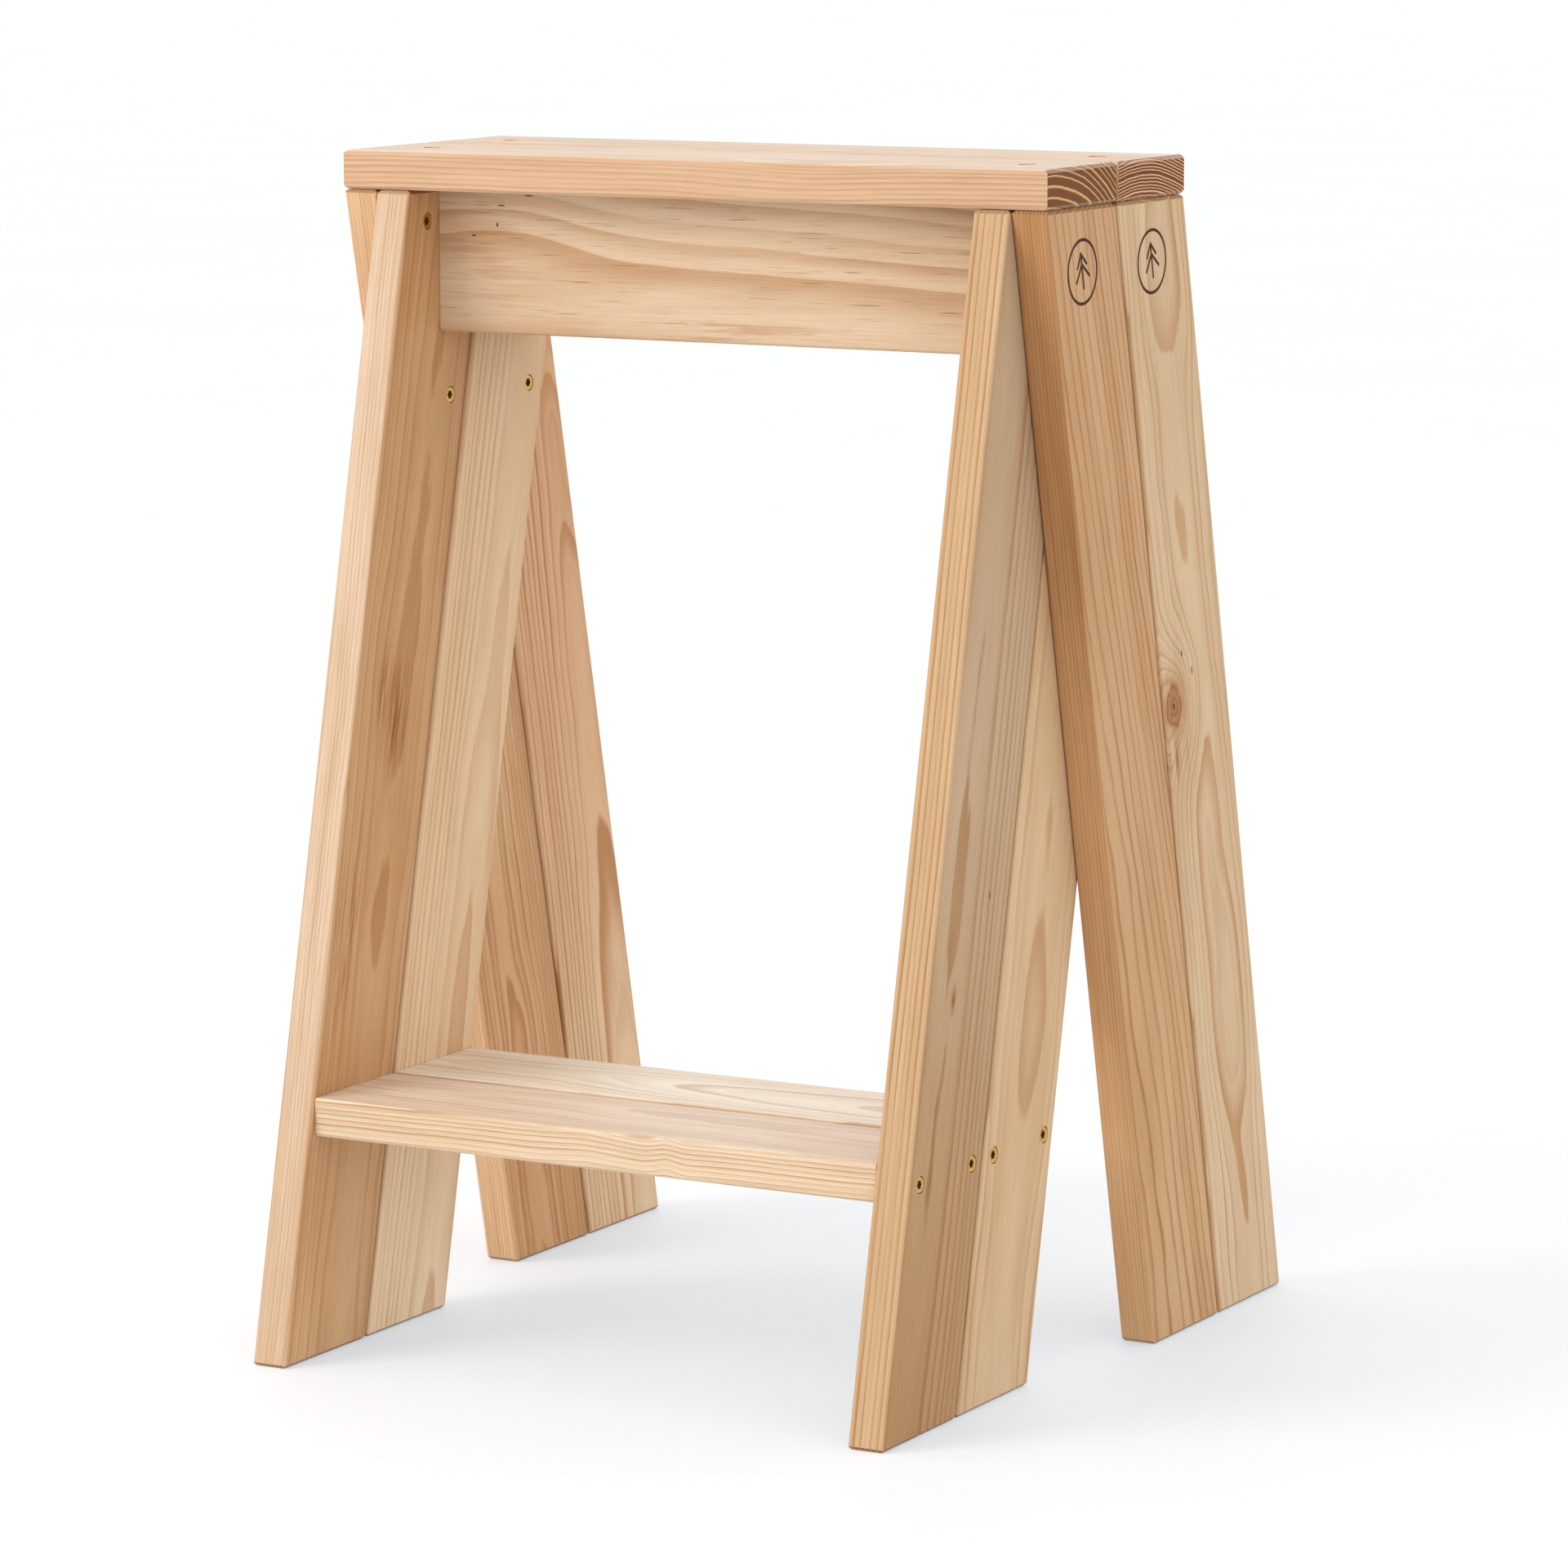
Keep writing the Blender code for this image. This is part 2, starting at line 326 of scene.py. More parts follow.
# Lengths are in mm in the board's own frame: along its length, across its width, and through its thickness.
GRAINS = {
    "front_seat_plank": {
        # face: paler and whiter than the wood, painted sheen of the seat top
        "face": (0.635, 0.51, 0.392),
        "edge": (0.59, 0.383, 0.237),
        "tone": 0.25,
        "pith": (-39.0, -105.0),
        "spacing": 5.0,
        "growth": 0.0016,
        "drift": (2.0, 4.0),
        "contrast": 0.4,
        "fine_rings": 0.6,
        "late_start": 0.55,
        "end_early": (0.17, 0.05, 0.004),
        "end_late": (0.68, 0.4, 0.17),
        "gloss": 0.12,
        "swirls": ((95.0, -45.0, 0.0, 70.0, 30.0, 3.0),),
        "specks": (
            (-197.0, -40.0, 12.0, 1.6, 0.7),
            (198.0, -40.0, 12.0, 1.6, 0.7),
            (60.0, -44.0, 6.0, 1.0, 0.6),
        ),
    },
    "rear_seat_plank": {
        # face: paler and whiter than the wood, painted sheen of the seat top
        "face": (0.635, 0.51, 0.392),
        "tone": 0.4,
        "pith": (-12.0, -155.0),
        "spacing": 2.1,
        "drift": (2.0, 3.0),
        "contrast": 0.6,
        "end_early": (0.13, 0.036, 0.003),
        "end_late": (0.75, 0.385, 0.18),
        "end_share": 0.52,
        "gloss": 0.12,
    },
    "front_apron": {
        "face": (0.63, 0.47, 0.32),
        "tone": 0.45,
        "pith": (-31.0, -70.0),
        "slope": (-0.06, 0.0),
        "spacing": 6.5,
        "phase": -0.5,
        "drift": (5.0, 3.0),
        "contrast": 0.74,
        "fine_rings": 0.2,
        "late_start": 0.1,
        "cracks": 1.0,
        "swirls": ((-135.0, 15.0, 0.0, 60.0, 60.0, -5.0), (-140.0, -20.0, 12.0, 55.0, 24.0, 4.0)),
        "specks": (
            (-150.0, 35.0, 12.0, 3.0, 0.5),
            (-130.0, 41.5, 12.0, 3.5, 0.5),
            (-153.0, 23.0, 12.0, 0.8, 1.6),
            (-170.0, 16.0, 12.0, 1.8, 0.6),
        ),
        "streaks": ((-165.0, 5.0, 30.0, 45.0, 0.35), (0.0, -37.0, 70.0, 9.0, 0.6)),
    },
    "rear_apron": {
        "pith": (10.0, -70.0),
        "spacing": 3.5,
        "contrast": 0.8,
        "cracks": 0.5,
    },
    "front_shelf": {
        # face: paler and whiter than the wood, painted sheen and painted light on the shelf top
        "face": (0.72, 0.6, 0.478),
        "edge": (0.705, 0.548, 0.375),
        "tone": 0.4,
        "pith": (15.0, -80.0),
        "slope": (0.0, 0.01),
        "spacing": 2.8,
        "phase": 0.12,
        "drift": (4.0, 5.0),
        "contrast": 0.6,
        "edge_lines": 1.7,
        "gloss": 0.3,
        "swirls": ((1.0, -44.5, 0.0, 26.0, 40.0, -2.2), (53.0, -44.5, -4.0, 9.0, 20.0, -2.2)),
    },
    "rear_shelf": {
        # face: paler and whiter than the wood, painted sheen and painted light on the shelf top
        "face": (0.81, 0.755, 0.645),
        "tone": 0.4,
        "pith": (0.0, -50.0),
        "slope": (0.0, 0.03),
        "spacing": 4.0,
        "contrast": 0.8,
        "gloss": 0.3,
    },
    "front_left_inner_leg": {
        "face": (0.605, 0.375, 0.19),
        "edge": (0.62, 0.465, 0.325),
        # foot: lighter than the face, painted light where the shelf's shade falls below it
        "foot": (0.64, 0.4, 0.213),
        "tone": 0.5,
        "pith": (10.0, 110.0),
        "spacing": 2.6,
        "drift": (4.0, 3.0),
        "contrast": 0.6,
        "streaks": (
            (26.0, 4.0, 40.0, 10.0, 1.0),
            (48.0, -14.0, 26.0, 7.0, 0.8),
            (-110.0, -25.0, 60.0, 12.0, 0.8),
        ),
    },
    "rear_left_inner_leg": {
        # face: lighter than the wood, painted light on this inside face of the frame
        "face": (0.787, 0.6, 0.39),
        "edge": (0.72, 0.53, 0.33),
        # foot: lighter still, painted light where the shelf's shade falls below it
        "foot": (0.83, 0.64, 0.43),
        "tone": 0.3,
        "late": (0.75, 0.57, 0.43),
        "pith": (24.0, 45.0),
        "slope": (0.0, 0.008),
        "spacing": 3.8,
        "drift": (3.0, 4.0),
        "contrast": 0.85,
        "fine_rings": 0.2,
        "late_start": 0.3,
    },
    "front_left_outer_leg": {
        "face": (0.7, 0.478, 0.27),
        "edge": (0.68, 0.46, 0.275),
        "foot": (0.63, 0.37, 0.19),
        "tone": 0.5,
        "pith": (-10.0, 60.0),
        "spacing": 2.4,
        "drift": (3.0, 5.0),
        "fine_rings": 0.8,
    },
    "rear_left_outer_leg": {
        "face": (0.7, 0.448, 0.262),
        "foot": (0.75, 0.55, 0.35),
        "tone": 0.4,
        "pith": (30.0, 45.0),
        "slope": (0.0, 0.03),
        "spacing": 4.0,
        "drift": (3.0, 6.0),
        "contrast": 1.15,
    },
    "front_right_inner_leg": {
        "face": (0.495, 0.352, 0.22),
        "edge": (0.546, 0.366, 0.207),
        "foot": (0.43, 0.25, 0.115),
        "tone": 0.3,
        "late": (0.72, 0.54, 0.36),
        "pith": (-22.0, 60.0),
        "spacing": 3.7,
        "drift": (3.0, 1.5),
        "fine_rings": 0.1,
        "knots": ((-108.0, -14.0, 1.8, 3.5, 3.0),),
        "specks": ((-44.0, 19.0, -12.0, 2.5, 0.8),),
    },
    "rear_right_inner_leg": {
        "face": (0.63, 0.45, 0.272),
        "edge": (0.62, 0.44, 0.25),
        "tone": 0.5,
        "pith": (0.0, 70.0),
        "spacing": 5.5,
        "contrast": 0.6,
    },
    "front_right_outer_leg": {
        "face": (0.54, 0.328, 0.168),
        "edge": (0.44, 0.23, 0.1),
        "foot": (0.564, 0.351, 0.178),
        "edge_foot": (0.575, 0.34, 0.172),
        "tone": 0.5,
        "pith": (-85.0, 330.0),
        "slope": (-0.08, 0.0),
        "spacing": 2.3,
        "uneven": 1.4,
        "drift": (1.0, 3.0),
        "contrast": 0.95,
        "edge_lines": 0.75,
        "fine_rings": 0.0,
        "late_start": 0.6,
        "mark": (326.9, -7.0),
    },
    "rear_right_outer_leg": {
        "face": (0.606, 0.444, 0.273),
        "edge": (0.62, 0.43, 0.25),
        "foot": (0.639, 0.477, 0.305),
        "tone": 0.35,
        "late": (0.76, 0.57, 0.4),
        "pith": (4.0, 60.0),
        "spacing": 3.6,
        "drift": (3.0, 9.0),
        "knots": ((50.4, -31.7, 11.0, 1.3, 20.0),),
        "specks": ((79.0, -15.0, -12.0, 2.2, 1.0), (64.0, -3.0, -12.0, 3.0, 0.9)),
        "streaks": ((16.0, -34.0, 14.0, 14.0, 0.9),),
        "mark": (327.1, -6.9),
    },
}

# Burnt mark, in mm; its lines are (start, end) along and across the board
MARK_RADIUS = 19.0
MARK_STROKE = 0.95
MARK_INK = (MARK_STROKE - 0.3, MARK_STROKE + 0.1, 1.0, 0.0)
MARK_ROUGH_SCALE = (0.8, 0.8, 0.8)
MARK_ROUGH = 0.3
MARK_LINES = (
    ((-10.0, 0.0), (11.0, 0.0)),
    ((11.0, 0.0), (3.5, -6.0)),
    ((11.0, 0.0), (3.5, 6.0)),
    ((4.5, 0.0), (-4.5, -8.5)),
    ((4.5, 0.0), (-4.5, 8.5)),
)
BURNT = (0.05, 0.013, 0.002)


def board_axes(node):
    """Unit vectors along a board's length, width and thickness."""
    if node.endswith("_leg"):
        lean = LEAN if "inner" in node else -LEAN
        along = Vector((0.0, math.sin(lean), math.cos(lean)))
        across = Vector((0.0, math.cos(lean), -math.sin(lean)))
    elif node.endswith("_apron"):
        along, across = Vector((1.0, 0.0, 0.0)), Vector((0.0, 0.0, 1.0))
    else:
        along, across = Vector((1.0, 0.0, 0.0)), Vector((0.0, 1.0, 0.0))
    return along, across, along.cross(across)


def board_place(s, node, coords):
    """Object coordinates turned into the board's own frame, in mm."""
    low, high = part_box(node)
    turn = Matrix(board_axes(node)).transposed().to_euler()
    inputs = {
        "Vector": coords.outputs["Object"],
        "Location": (low + high) / 2,
        "Rotation": turn,
        "Scale": (MM, MM, MM),
    }
    return s.add("ShaderNodeMapping", inputs, vector_type="TEXTURE")


def near_ellipsoid(s, place, centre, radii):
    """1 at the centre, falling smoothly to 0 at about twice the radii."""
    scaled = s.vector("DIVIDE", s.vector("SUBTRACT", place, centre), radii)
    square = s.vector("DOT_PRODUCT", scaled, scaled)
    return s.math("POWER", math.e, s.math("MULTIPLY", square, -1.0))


def knot_reach(s, place, knot):
    """How far each point is from a knot's middle, in radii. A knot is longer along the board."""
    knot_u, knot_v, radius, stretch, _ = knot
    flat = s.vector("SUBTRACT", place, (knot_u, knot_v, 0.0))
    return s.vector("LENGTH", s.vector("MULTIPLY", flat, (1 / (stretch * radius), 1 / radius, 0.0)))


def round_knots(s, place, grain):
    """Moves points across the board so that the fibres run round each knot, as water runs round a post."""
    for knot in grain["knots"]:
        reach = s.math("MAXIMUM", knot_reach(s, place, knot), 1.0)
        share = s.math("DIVIDE", 1.0, s.math("MULTIPLY", reach, reach))
        to_middle = s.vector("MULTIPLY", s.vector("SUBTRACT", (0.0, knot[1], 0.0), place), (0.0, 1.0, 0.0))
        place = s.vector("ADD", place, s.scaled(to_middle, share))
    return place


def growth_rings(s, place, grain, offset):
    """The ring number at each point, from its distance to a pith line that wanders and slopes."""
    drift_v, drift_w = grain["drift"]
    ripple_size = grain["ripple"]
    drift = s.vector("SUBTRACT", s.noise(place, DRIFT_SCALE, offset, colour=True), HALF)
    ripple = s.vector("SUBTRACT", s.noise(place, RIPPLE_SCALE, offset, detail=4.0, colour=True), HALF)
    drift = s.vector("MULTIPLY", drift, (0.0, 2 * drift_v, 2 * drift_w))
    ripple = s.vector("MULTIPLY", ripple, (0.0, ripple_size, ripple_size))
    warped = s.vector("ADD", s.vector("ADD", round_knots(s, place, grain), drift), ripple)
    u, v, w = s.parts(warped)
    (pith_v, pith_w), (slope_v, slope_w) = grain["pith"], grain["slope"]
    dv = s.math("SUBTRACT", v, s.math("MULTIPLY_ADD", u, slope_v, pith_v))
    dw = s.math("SUBTRACT", w, s.math("MULTIPLY_ADD", u, slope_w, pith_w))
    radius = s.math("SUBTRACT", s.vector("LENGTH", s.join(0.0, dv, dw)), math.hypot(pith_v, pith_w))
    for *centre, length, breadth, lift in grain["swirls"]:
        bulge = near_ellipsoid(s, place, centre, (length, breadth, breadth))
        radius = s.math("MULTIPLY_ADD", bulge, lift, radius)
    for knot in grain["knots"]:
        reach = knot_reach(s, place, knot)
        bulge = s.math("POWER", math.e, s.math("MULTIPLY", s.math("MULTIPLY", reach, reach), KNOT_BULGE))
        radius = s.math("MULTIPLY_ADD", bulge, knot[4], radius)
    square = s.math("MULTIPLY", s.math("MULTIPLY", radius, radius), grain["growth"])
    square = s.math("ADD", square, grain["phase"])
    ring = s.math("ADD", s.math("DIVIDE", radius, grain["spacing"]), square)
    uneven = s.noise(s.join(ring, 0.0, 0.0), UNEVEN_SCALE, offset, detail=1.0)
    return s.math("MULTIPLY_ADD", uneven, grain["uneven"], ring)


def late_band(s, ring, start, seed):
    """A band that darkens slowly outwards in each ring and stops sharply, each with its own strength."""
    share = s.math("FRACT", ring)
    band = s.math("MULTIPLY", s.step(share, start, LATE_PEAK), s.step(share, *LATE_STOP))
    strength = s.random(s.math("ADD", s.math("FLOOR", ring), seed))
    return s.math("MULTIPLY", band, s.math("MULTIPLY_ADD", strength, LATE_SPREAD, LATE_LEAST))


def segment_distance(s, place, start, end):
    """Distance in the face plane to a line from start to end."""
    start, end = Vector((*start, 0.0)), Vector((*end, 0.0))
    way = end - start
    rel = s.vector("SUBTRACT", place, start)
    share = s.math("DIVIDE", s.vector("DOT_PRODUCT", rel, way), way.length_squared)
    share = s.add("ShaderNodeClamp", {"Value": share})
    nearest = s.scaled(way, share)
    return s.vector("LENGTH", s.vector("SUBTRACT", rel, nearest))


def burnt_mark(s, place, centre, coords):
    """A plain ring with a simple tree in it, on the side that looks outwards."""
    flat = s.vector("MULTIPLY", s.vector("SUBTRACT", place, (*centre, 0.0)), (1.0, 1.0, 0.0))
    nearest = s.math("ABSOLUTE", s.math("SUBTRACT", s.vector("LENGTH", flat), MARK_RADIUS))
    for start, end in MARK_LINES:
        nearest = s.math("MINIMUM", nearest, segment_distance(s, flat, start, end))
    rough = s.noise(place, MARK_ROUGH_SCALE, detail=2.0)
    nearest = s.math("SUBTRACT", nearest, s.math("MULTIPLY", rough, MARK_ROUGH))
    outside = s.step(s.vector("DOT_PRODUCT", coords.outputs["Normal"], (1.0, 0.0, 0.0)), *FACING_RANGE)
    return s.math("MULTIPLY", s.step(nearest, *MARK_INK), outside)


def tinted(s, colour, tone):
    """The colour made lighter or darker by a grey tone."""
    return s.mix(1.0, colour, s.join(tone, tone, tone), "MULTIPLY")


def ring_lines(s, place, ring, grain, edge_side, other, seed):
    """How dark the late wood is on the long faces, fading in and out along the board."""
    fade = s.step(s.noise(place, FADE_SCALE, other), *FADE_RANGE)
    coarse = s.math("MULTIPLY", late_band(s, ring, grain["late_start"], seed), grain["contrast"])
    fine = late_band(s, s.math("MULTIPLY", ring, 2.0), FINE_START, seed + FINE_SEED)
    rings = s.math("MAXIMUM", coarse, s.math("MULTIPLY", fine, grain["fine_rings"]))
    side_share = s.math("MULTIPLY_ADD", edge_side, grain["edge_lines"] - 1.0, 1.0)
    return s.math("MULTIPLY", s.math("MULTIPLY", rings, fade), side_share)


def clear_wood(s, place, ring, grain, edge_side, offset):
    """The board's colour with its paler and deeper years and clouds; on the seats, the shelves and the inner
    left legs it also holds painted sheen and painted light.
    """
    along = s.parts(place)[0]
    years = s.join(s.math("MULTIPLY", ring, YEARS_PER_RING), along, 0.0)
    years = s.noise(years, YEARS_SCALE, offset, detail=3.0)
    cloud = s.noise(place, CLOUD_SCALE, offset, detail=3.0)
    mixed = s.math("ADD", s.math("MULTIPLY", years, YEARS_SHARE), s.math("MULTIPLY", cloud, CLOUD_SHARE))
    deep = s.step(mixed, *DEEP_RANGE, 0.0, grain["tone"])
    face, edge = grain["face"], grain["edge"]
    # towards the floor the colour changes; on the inner left legs this is painted light below the shelf
    if grain["foot"]:
        face = s.mix(s.step(along, *FOOT_RANGE), face, grain["foot"])
    if grain["edge_foot"]:
        edge = s.mix(s.step(along, *EDGE_FOOT_RANGE), edge, grain["edge_foot"])
    base = s.mix(edge_side, face, edge)
    return s.mix(1.0, base, s.mix(deep, PALE, DEEP), "MULTIPLY")


def faults(s, place, colour, grain, offset, other):
    """Resin canals, drying cracks, streaks, knots and specks laid over the clear wood."""
    canal = s.step(s.noise(place, CANAL_SCALE, other, detail=1.0), *CANAL_RANGE)
    colour = s.mix(s.math("MULTIPLY", canal, CANAL_STRENGTH), colour, CANAL)
    if grain["cracks"]:
        crack = s.step(s.noise(place, CRACK_SCALE, offset, detail=2.0), *CRACK_RANGE)
        colour = s.mix(s.math("MULTIPLY", crack, grain["cracks"]), colour, CRACK)
    for *centre, length, breadth, strength in grain["streaks"]:
        near = near_ellipsoid(s, place, (*centre, 0.0), (length, breadth, STREAK_DEPTH))
        streak = s.step(s.noise(place, STREAK_SCALE, other, detail=3.0), *STREAK_RANGE, 0.0, strength)
        colour = s.mix(s.math("MULTIPLY", near, streak), colour, s.mix(1.0, colour, STREAK, "MULTIPLY"))
    for knot in grain["knots"]:
        colour = knot_colour(s, place, colour, knot)
    for *centre, length, width in grain["specks"]:
        near = near_ellipsoid(s, place, centre, (length, width, SPECK_DEPTH))
        colour = s.mix(s.step(near, *SPECK_RANGE), colour, SPECK)
    return colour


def side_colour(s, place, ring, grain, across, normal, offset, seed):
    """(colour, ring lines, fibre) of the long faces."""
    other = tuple(reversed(offset))
    edge_side = s.step(s.math("ABSOLUTE", s.vector("DOT_PRODUCT", normal, across)), *FACING_RANGE)
    rings = ring_lines(s, place, ring, grain, edge_side, other, seed)
    fibre = s.noise(place, FIBRE_SCALE, offset, detail=4.0, roughness=0.6)
    base = clear_wood(s, place, ring, grain, edge_side, offset)
    colour = s.mix(rings, base, s.mix(1.0, base, grain["late"], "MULTIPLY"))
    colour = tinted(s, colour, s.step(fibre, *FIBRE_SHADE))
    return faults(s, place, colour, grain, offset, other), rings, fibre


def end_colour(s, place, ring, grain, offset):
    """End grain: brown, with a ragged pale line in each ring."""
    ragged = s.noise(place, RAGGED_SCALE, offset, detail=3.0, roughness=0.7)
    share = s.math("FRACT", s.math("MULTIPLY_ADD", ragged, RAGGED, ring))
    start = grain["end_share"]
    pale = s.math("MULTIPLY", s.step(share, start, start + END_RISE), s.step(share, *END_STOP))
    colour = s.mix(pale, grain["end_early"], grain["end_late"])
    pores = s.noise(place, PORE_SCALE, offset, detail=2.0)
    return tinted(s, colour, s.step(pores, *PORE_SHADE))


def knot_colour(s, place, colour, knot):
    """A reddish knot with its own rings, a dark edge and a small dark heart."""
    wobble = s.math("SUBTRACT", s.noise(place, KNOT_SCALE, detail=3.0), 0.5)
    reach = s.math("MULTIPLY_ADD", wobble, KNOT_WOBBLE, knot_reach(s, place, knot))
    tight = s.math("PINGPONG", s.math("MULTIPLY", reach, KNOT_RINGS * knot[2]), 1.0)
    tone = s.mix(tight, KNOT_EARLY, KNOT_LATE)
    tone = s.mix(s.step(reach, *KNOT_HEART_RANGE), tone, KNOT_HEART)
    halo = s.mix(1.0, colour, KNOT_HALO, "MULTIPLY")
    colour = s.mix(s.step(reach, *KNOT_HALO_RANGE), colour, halo)
    return s.mix(s.step(reach, *KNOT_RANGE), colour, tone)


def wood_material(node, seed):
    grain = {**WOOD, **GRAINS[node]}
    s = Shader("wood_" + node)
    along, across, _ = board_axes(node)
    coords = s.tree.nodes.new("ShaderNodeTexCoord")
    normal = coords.outputs["Normal"]
    place = board_place(s, node, coords)
    offset = tuple(seed * step for step in SEED_OFFSET)
    ring = growth_rings(s, place, grain, offset)
    colour, rings, fibre = side_colour(s, place, ring, grain, across, normal, offset, seed)
    facing = s.math("ABSOLUTE", s.vector("DOT_PRODUCT", normal, along))
    end = s.math("ADD", s.step(facing, *CHAMFER_FACING), s.step(facing, *END_FACING))
    colour = s.mix(end, colour, end_colour(s, place, ring, grain, offset))
    if grain["mark"]:
        colour = s.mix(burnt_mark(s, place, grain["mark"], coords), colour, BURNT)

    s.feed(s.surface.inputs["Base Color"], colour)
    s.feed(s.surface.inputs["Roughness"], s.step(fibre, *FIBRE_ROUGHNESS))
    height = s.math("ADD", s.math("MULTIPLY", rings, RING_HEIGHT), s.math("MULTIPLY", fibre, FIBRE_HEIGHT))
    s.feed(s.surface.inputs["Normal"], s.bump(height, WOOD_BUMP))
    s.surface.inputs["Specular IOR Level"].default_value = grain["gloss"]
    return s.material


def brass_material():
    s = Shader("screw_brass")
    coords = s.tree.nodes.new("ShaderNodeTexCoord")
    place = coords.outputs["Object"]
    mottle = s.noise(place, BRASS_SCALE, detail=3.0)
    colour = s.mix(mottle, *BRASS_COLOURS)
    s.feed(s.surface.inputs["Base Color"], colour)
    s.feed(s.surface.inputs["Roughness"], s.step(mottle, *BRASS_ROUGHNESS))
    s.surface.inputs["Metallic"].default_value = 1.0
    return s.material


def recess_material():
    # the recess's dark colour is partly grime and partly painted shade, as dark as the shade deep in the
    # hole
    s = Shader("drive_recess")
    coords = s.tree.nodes.new("ShaderNodeTexCoord")
    grime_and_shade = s.noise(coords.outputs["Object"], GRIME_AND_SHADE_SCALE, detail=2.0)
    s.feed(s.surface.inputs["Base Color"], s.mix(grime_and_shade, *GRIME_AND_SHADE_COLOURS))
    s.feed(s.surface.inputs["Roughness"], s.step(grime_and_shade, *GRIME_AND_SHADE_ROUGHNESS))
    return s.material


# ---------------------------------------------------------------- shapes


def link(name, mesh):
    obj = bpy.data.objects.new(name, mesh)
    bpy.context.scene.collection.objects.link(obj)
    return obj


def applied(obj):
    """The object's mesh with its modifiers applied; the object is removed."""
    bpy.context.view_layer.update()
    graph = bpy.context.evaluated_depsgraph_get()
    mesh = bpy.data.meshes.new_from_object(obj.evaluated_get(graph), depsgraph=graph)
    bpy.data.objects.remove(obj, do_unlink=True)
    return mesh


def board_size(node):
    """A board's size along X, its width direction and Z: a leaning board's ends stay level."""
    low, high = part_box(node)
    size = high - low
    if node.endswith("_leg"):
        size.y = WIDTH / math.cos(LEAN)
    return size


def is_parallel(edge, direction):
    way = edge.verts[1].co - edge.verts[0].co
    return way.cross(direction).length < PARALLEL * way.length


def chamfer_end(bm, size, axes, length_axis, end, axis, side):
    """Cuts the edge between one end of a board and one of its four long faces."""
    other = 3 - length_axis - axis
    face_normal = axes[length_axis].cross(axes[other]).normalized()
    if face_normal.dot(axes[axis]) * side < 0:
        face_normal.negate()
    end_normal = Vector([float(i == length_axis) for i in range(3)]) * end
    edge = axes[length_axis] * end * size[length_axis] / 2 + axes[axis] * side * size[axis] / 2
    bmesh.ops.bisect_plane(
        bm,
        geom=bm.verts[:] + bm.edges[:] + bm.faces[:],
        plane_co=edge - axes[axis] * side * END_CHAMFER,
        plane_no=face_normal + end_normal,
        clear_outer=True,
    )
    bmesh.ops.holes_fill(bm, edges=[edge for edge in bm.edges if edge.is_boundary])


def board_blank(node):
    """A board with rounded long edges and chamfered ends, in place."""
    leg = node.endswith("_leg")
    length_axis = 2 if leg else 0
    eased_axes = (0, 1) if leg else (2,) if node.endswith("_seat_plank") else ()
    size = board_size(node)
    shear = Matrix.Identity(3)
    if leg:
        shear[1][2] = math.tan(LEAN if "inner" in node else -LEAN)
    bm = bmesh.new()
    bmesh.ops.create_cube(bm, size=1.0, matrix=Matrix.Diagonal((*size, 1.0)))
    bmesh.ops.transform(bm, matrix=shear.to_4x4(), verts=bm.verts)
    axes = [shear @ axis for axis in Matrix.Identity(3)]
    long_edges = [edge for edge in bm.edges if is_parallel(edge, axes[length_axis])]
    bmesh.ops.bevel(
        bm, geom=long_edges, offset=EDGE_ROUND, segments=EDGE_SEGMENTS, profile=0.5, affect="EDGES"
    )
    for end in (-1, 1):
        for axis in eased_axes:
            for side in (-1, 1):
                chamfer_end(bm, size, axes, length_axis, end, axis, side)
    low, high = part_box(node)
    bmesh.ops.translate(bm, verts=bm.verts, vec=(low + high) / 2)
    mesh = bpy.data.meshes.new("board_" + node)
    bm.to_mesh(mesh)
    bm.free()
    return mesh


def screw_profile(length, clearance, top, dish):
    """(radius, height) of rings from the flat of the head to the tip, with the head's top at height 0."""
    rim = HEAD_RADIUS + clearance
    shank = SHANK_RADIUS + clearance
    return (
        (rim * HEAD_FLAT, top - dish),
        (rim * HEAD_CROWN, top),
        (rim, top - dish / 2),
        (rim, -HEAD_RIM),
        (shank, -HEAD_RIM - HEAD_CONE),
        (shank, TIP_LENGTH - length),
        (0.0, -length - clearance),
    )


def round_ring(radius, height):
    """Points round the Z axis; a radius of 0 gives one point."""
    steps = ROUND_STEPS if radius else 1
    angles = [math.tau * step / steps for step in range(steps)]
    return [(radius * math.cos(angle), radius * math.sin(angle), height) for angle in angles]


def lobed_ring(height):
    """The outline of the six-lobed drive recess."""
    ring = []
    for x, y, z in round_ring(DRIVE_RADIUS, height):
        lobe = math.cos(DRIVE_LOBES * math.atan2(y, x))
        scale = (1 + DRIVE_VALLEY + (1 - DRIVE_VALLEY) * lobe) / 2
        ring.append((x * scale, y * scale, z))
    return ring


def skinned_mesh(name, rings, recess_rings=0):
    """A closed mesh: a face across the first ring, bands between rings, and a cone to the last point.

    The faces inside the first recess_rings rings have the second material.
    """
    bm = bmesh.new()
    loops = [[bm.verts.new(point) for point in ring] for ring in rings]
    bm.faces.new(loops[0]).material_index = int(recess_rings > 0)
    for band, (start, end) in enumerate(zip(loops, loops[1:])):
        for i in range(ROUND_STEPS):
            j = (i + 1) % ROUND_STEPS
            corners = (start[i], end[i], end[j], start[j]) if len(end) > 1 else (start[i], end[0], start[j])
            bm.faces.new(corners).material_index = int(band + 1 < recess_rings)
    bmesh.ops.recalc_face_normals(bm, faces=bm.faces)
    mesh = bpy.data.meshes.new(name)
    bm.to_mesh(mesh)
    bm.free()
    return mesh


def cut(obj, cutters):
    for cutter in cutters:
        boolean = obj.modifiers.new("cut", "BOOLEAN")
        boolean.operation = "DIFFERENCE"
        boolean.solver = "EXACT"
        boolean.object = cutter


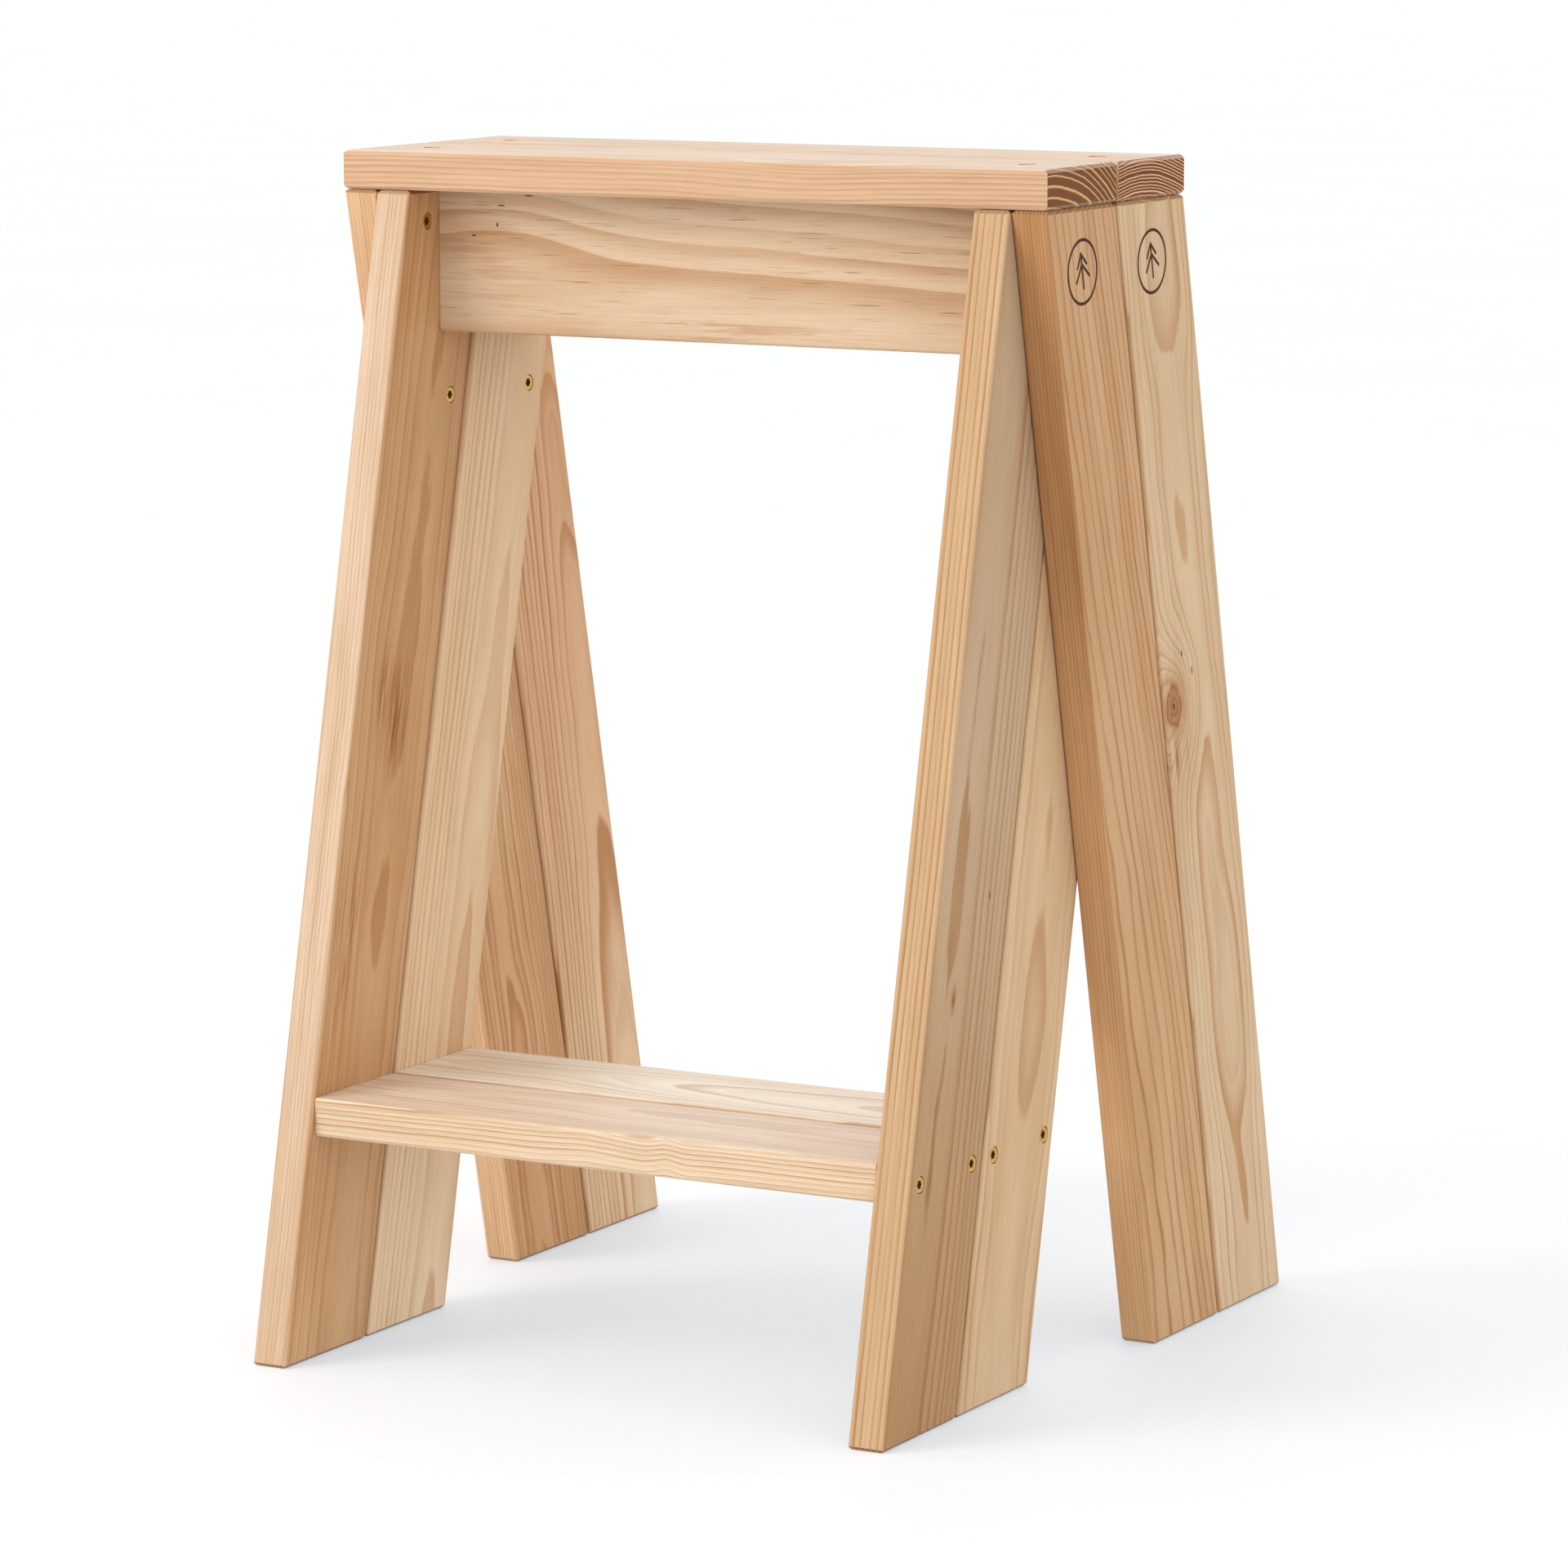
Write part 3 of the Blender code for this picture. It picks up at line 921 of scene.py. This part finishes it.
def mend(mesh):
    """Closes the odd narrow strip that the cutting leaves open in the wall of a hole."""
    bm = bmesh.new()
    bm.from_mesh(mesh)
    bmesh.ops.holes_fill(bm, edges=[edge for edge in bm.edges if edge.is_boundary])
    bm.to_mesh(mesh)
    bm.free()


def smooth(mesh):
    mesh.shade_smooth()
    mesh.set_sharp_from_angle(angle=SHARP_ANGLE)


def screw_mesh(length, materials):
    """A screw whose recess has the second material."""
    recess = [lobed_ring(-DRIVE_DEPTH), lobed_ring(-HEAD_DISH)]
    turned = [round_ring(*point) for point in screw_profile(length, 0.0, 0.0, HEAD_DISH)]
    mesh = skinned_mesh("screw", recess + turned, len(recess))
    for material in materials:
        mesh.materials.append(material)
    smooth(mesh)
    return mesh


def hole_mesh(length):
    """A cutter a little larger than the screw, standing proud of its head."""
    profile = screw_profile(length, HOLE_GAP, HOLE_PROUD, 0.0)
    return skinned_mesh("hole", [round_ring(*point) for point in profile])


def screw_place(node):
    """Where a screw's head is, which way it faces, and its length, from its CAD box."""
    low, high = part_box(node)
    size = high - low
    axis = max(range(3), key=lambda i: size[i])
    middle = (low + high) / 2
    if axis == 2:
        way = 1
    elif "leg_screw" in node:
        way = -1 if middle.x > 0 else 1
    else:
        way = 1 if middle.x > 0 else -1
    middle[axis] = high[axis] if way > 0 else low[axis]
    facing = Vector([way * float(i == axis) for i in range(3)])
    return middle, facing, size[axis]


def fine_screws(nodes):
    """Smooth screws in place of the CAD ones, and a hole cutter for each."""
    materials = brass_material(), recess_material()
    meshes, holes, cutters = {}, {}, {}
    for node in nodes:
        head, facing, length = screw_place(node)
        size = round(length / MM)
        if size not in meshes:
            meshes[size] = screw_mesh(length, materials)
            holes[size] = hole_mesh(length)
        turn = facing.to_track_quat("Z", "Y")
        piece = link("fine_" + node, meshes[size])
        cutter = link("hole_" + node, holes[size])
        for obj in (piece, cutter):
            obj.location = head
            obj.rotation_mode = "QUATERNION"
            obj.rotation_quaternion = turn
        cutters[node] = cutter
        body = frame_body(node)
        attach(piece, body)
        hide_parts(node)
    return cutters


def frame_body(node):
    return "front_trestle" if node.startswith("front") else "rear_trestle"


def overlaps(node, cutter_node):
    low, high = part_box(node)
    cut_low, cut_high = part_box(cutter_node)
    return all(low[i] < cut_high[i] and cut_low[i] < high[i] for i in range(3))


def fine_boards(nodes, cutters):
    """Boards with eased edges, screw holes and grain in place of the CAD ones."""
    for seed, node in enumerate(nodes):
        board = link("raw_" + node, board_blank(node))
        near = [cutter for name, cutter in cutters.items() if overlaps(node, name)]
        cut(board, near)
        mesh = applied(board)
        mend(mesh)
        mesh.materials.clear()
        mesh.materials.append(wood_material(node, seed + 1))
        smooth(mesh)
        piece = link("board_" + node, mesh)
        weights = piece.modifiers.new("face_normals", "WEIGHTED_NORMAL")
        weights.keep_sharp = True
        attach(piece, frame_body(node))
        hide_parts(node)


# ---------------------------------------------------------------- stage


def build_camera():
    camera = bpy.data.cameras.new("camera")
    camera.sensor_width = CAMERA_SENSOR
    camera.lens = CAMERA_LENS
    camera.shift_x, camera.shift_y = CAMERA_SHIFT
    camera.clip_end = 2 * FLOOR_SIZE
    obj = link("camera", camera)
    azimuth, elevation = CAMERA_AZIMUTH, CAMERA_ELEVATION
    level = math.cos(elevation)
    back = Vector((math.sin(azimuth) * level, -math.cos(azimuth) * level, math.sin(elevation)))
    right = Vector((math.cos(azimuth), math.sin(azimuth), 0.0))
    up = back.cross(right)
    turn = Matrix((right, up, back)).transposed() @ Matrix.Rotation(CAMERA_ROLL, 3, "Z")
    obj.matrix_world = Matrix.Translation(CAMERA_PLACE) @ turn.to_4x4()
    bpy.context.scene.camera = obj


def build_floor():
    """A pale floor that glows a little, so that a shadow on it stays neutral and light."""
    bm = bmesh.new()
    bmesh.ops.create_grid(bm, x_segments=1, y_segments=1, size=FLOOR_SIZE / 2)
    mesh = bpy.data.meshes.new("floor")
    bm.to_mesh(mesh)
    bm.free()
    s = Shader("floor")
    coords = s.tree.nodes.new("ShaderNodeTexCoord")
    cloud = s.noise(coords.outputs["Object"], FLOOR_CLOUD_SCALE, detail=2.0)
    s.feed(s.surface.inputs["Base Color"], s.mix(cloud, *FLOOR_COLOURS))
    s.surface.inputs["Emission Color"].default_value = FLOOR_GLOW
    s.surface.inputs["Emission Strength"].default_value = 1.0
    s.surface.inputs["Roughness"].default_value = FLOOR_ROUGHNESS
    s.surface.inputs["Specular IOR Level"].default_value = FLOOR_GLOSS
    mesh.materials.append(s.material)
    link("floor", mesh)


def build_world():
    world = bpy.data.worlds.new("studio")
    world.use_nodes = True
    background = world.node_tree.nodes["Background"]
    background.inputs["Color"].default_value = WORLD_COLOUR
    background.inputs["Strength"].default_value = WORLD_STRENGTH
    bpy.context.scene.world = world


def area_light(name, place, target, size, power):
    light = bpy.data.lights.new(name, "AREA")
    light.shape = "RECTANGLE"
    light.size, light.size_y = size
    light.energy = power
    obj = link(name, light)
    obj.location = place
    obj.rotation_euler = (Vector(target) - Vector(place)).to_track_quat("-Z", "Y").to_euler()


def build_scene():
    nodes = sorted(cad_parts)
    screws = [node for node in nodes if "screw" in node]
    boards = [node for node in nodes if "screw" not in node]
    build_camera()
    cutters = fine_screws(screws)
    fine_boards(boards, cutters)
    for cutter in cutters.values():
        bpy.data.objects.remove(cutter, do_unlink=True)
    build_floor()
    build_world()
    area_light("key", KEY_PLACE, KEY_TARGET, KEY_SIZE, KEY_POWER)
    bpy.context.scene.view_settings.view_transform = "Standard"


build_scene()
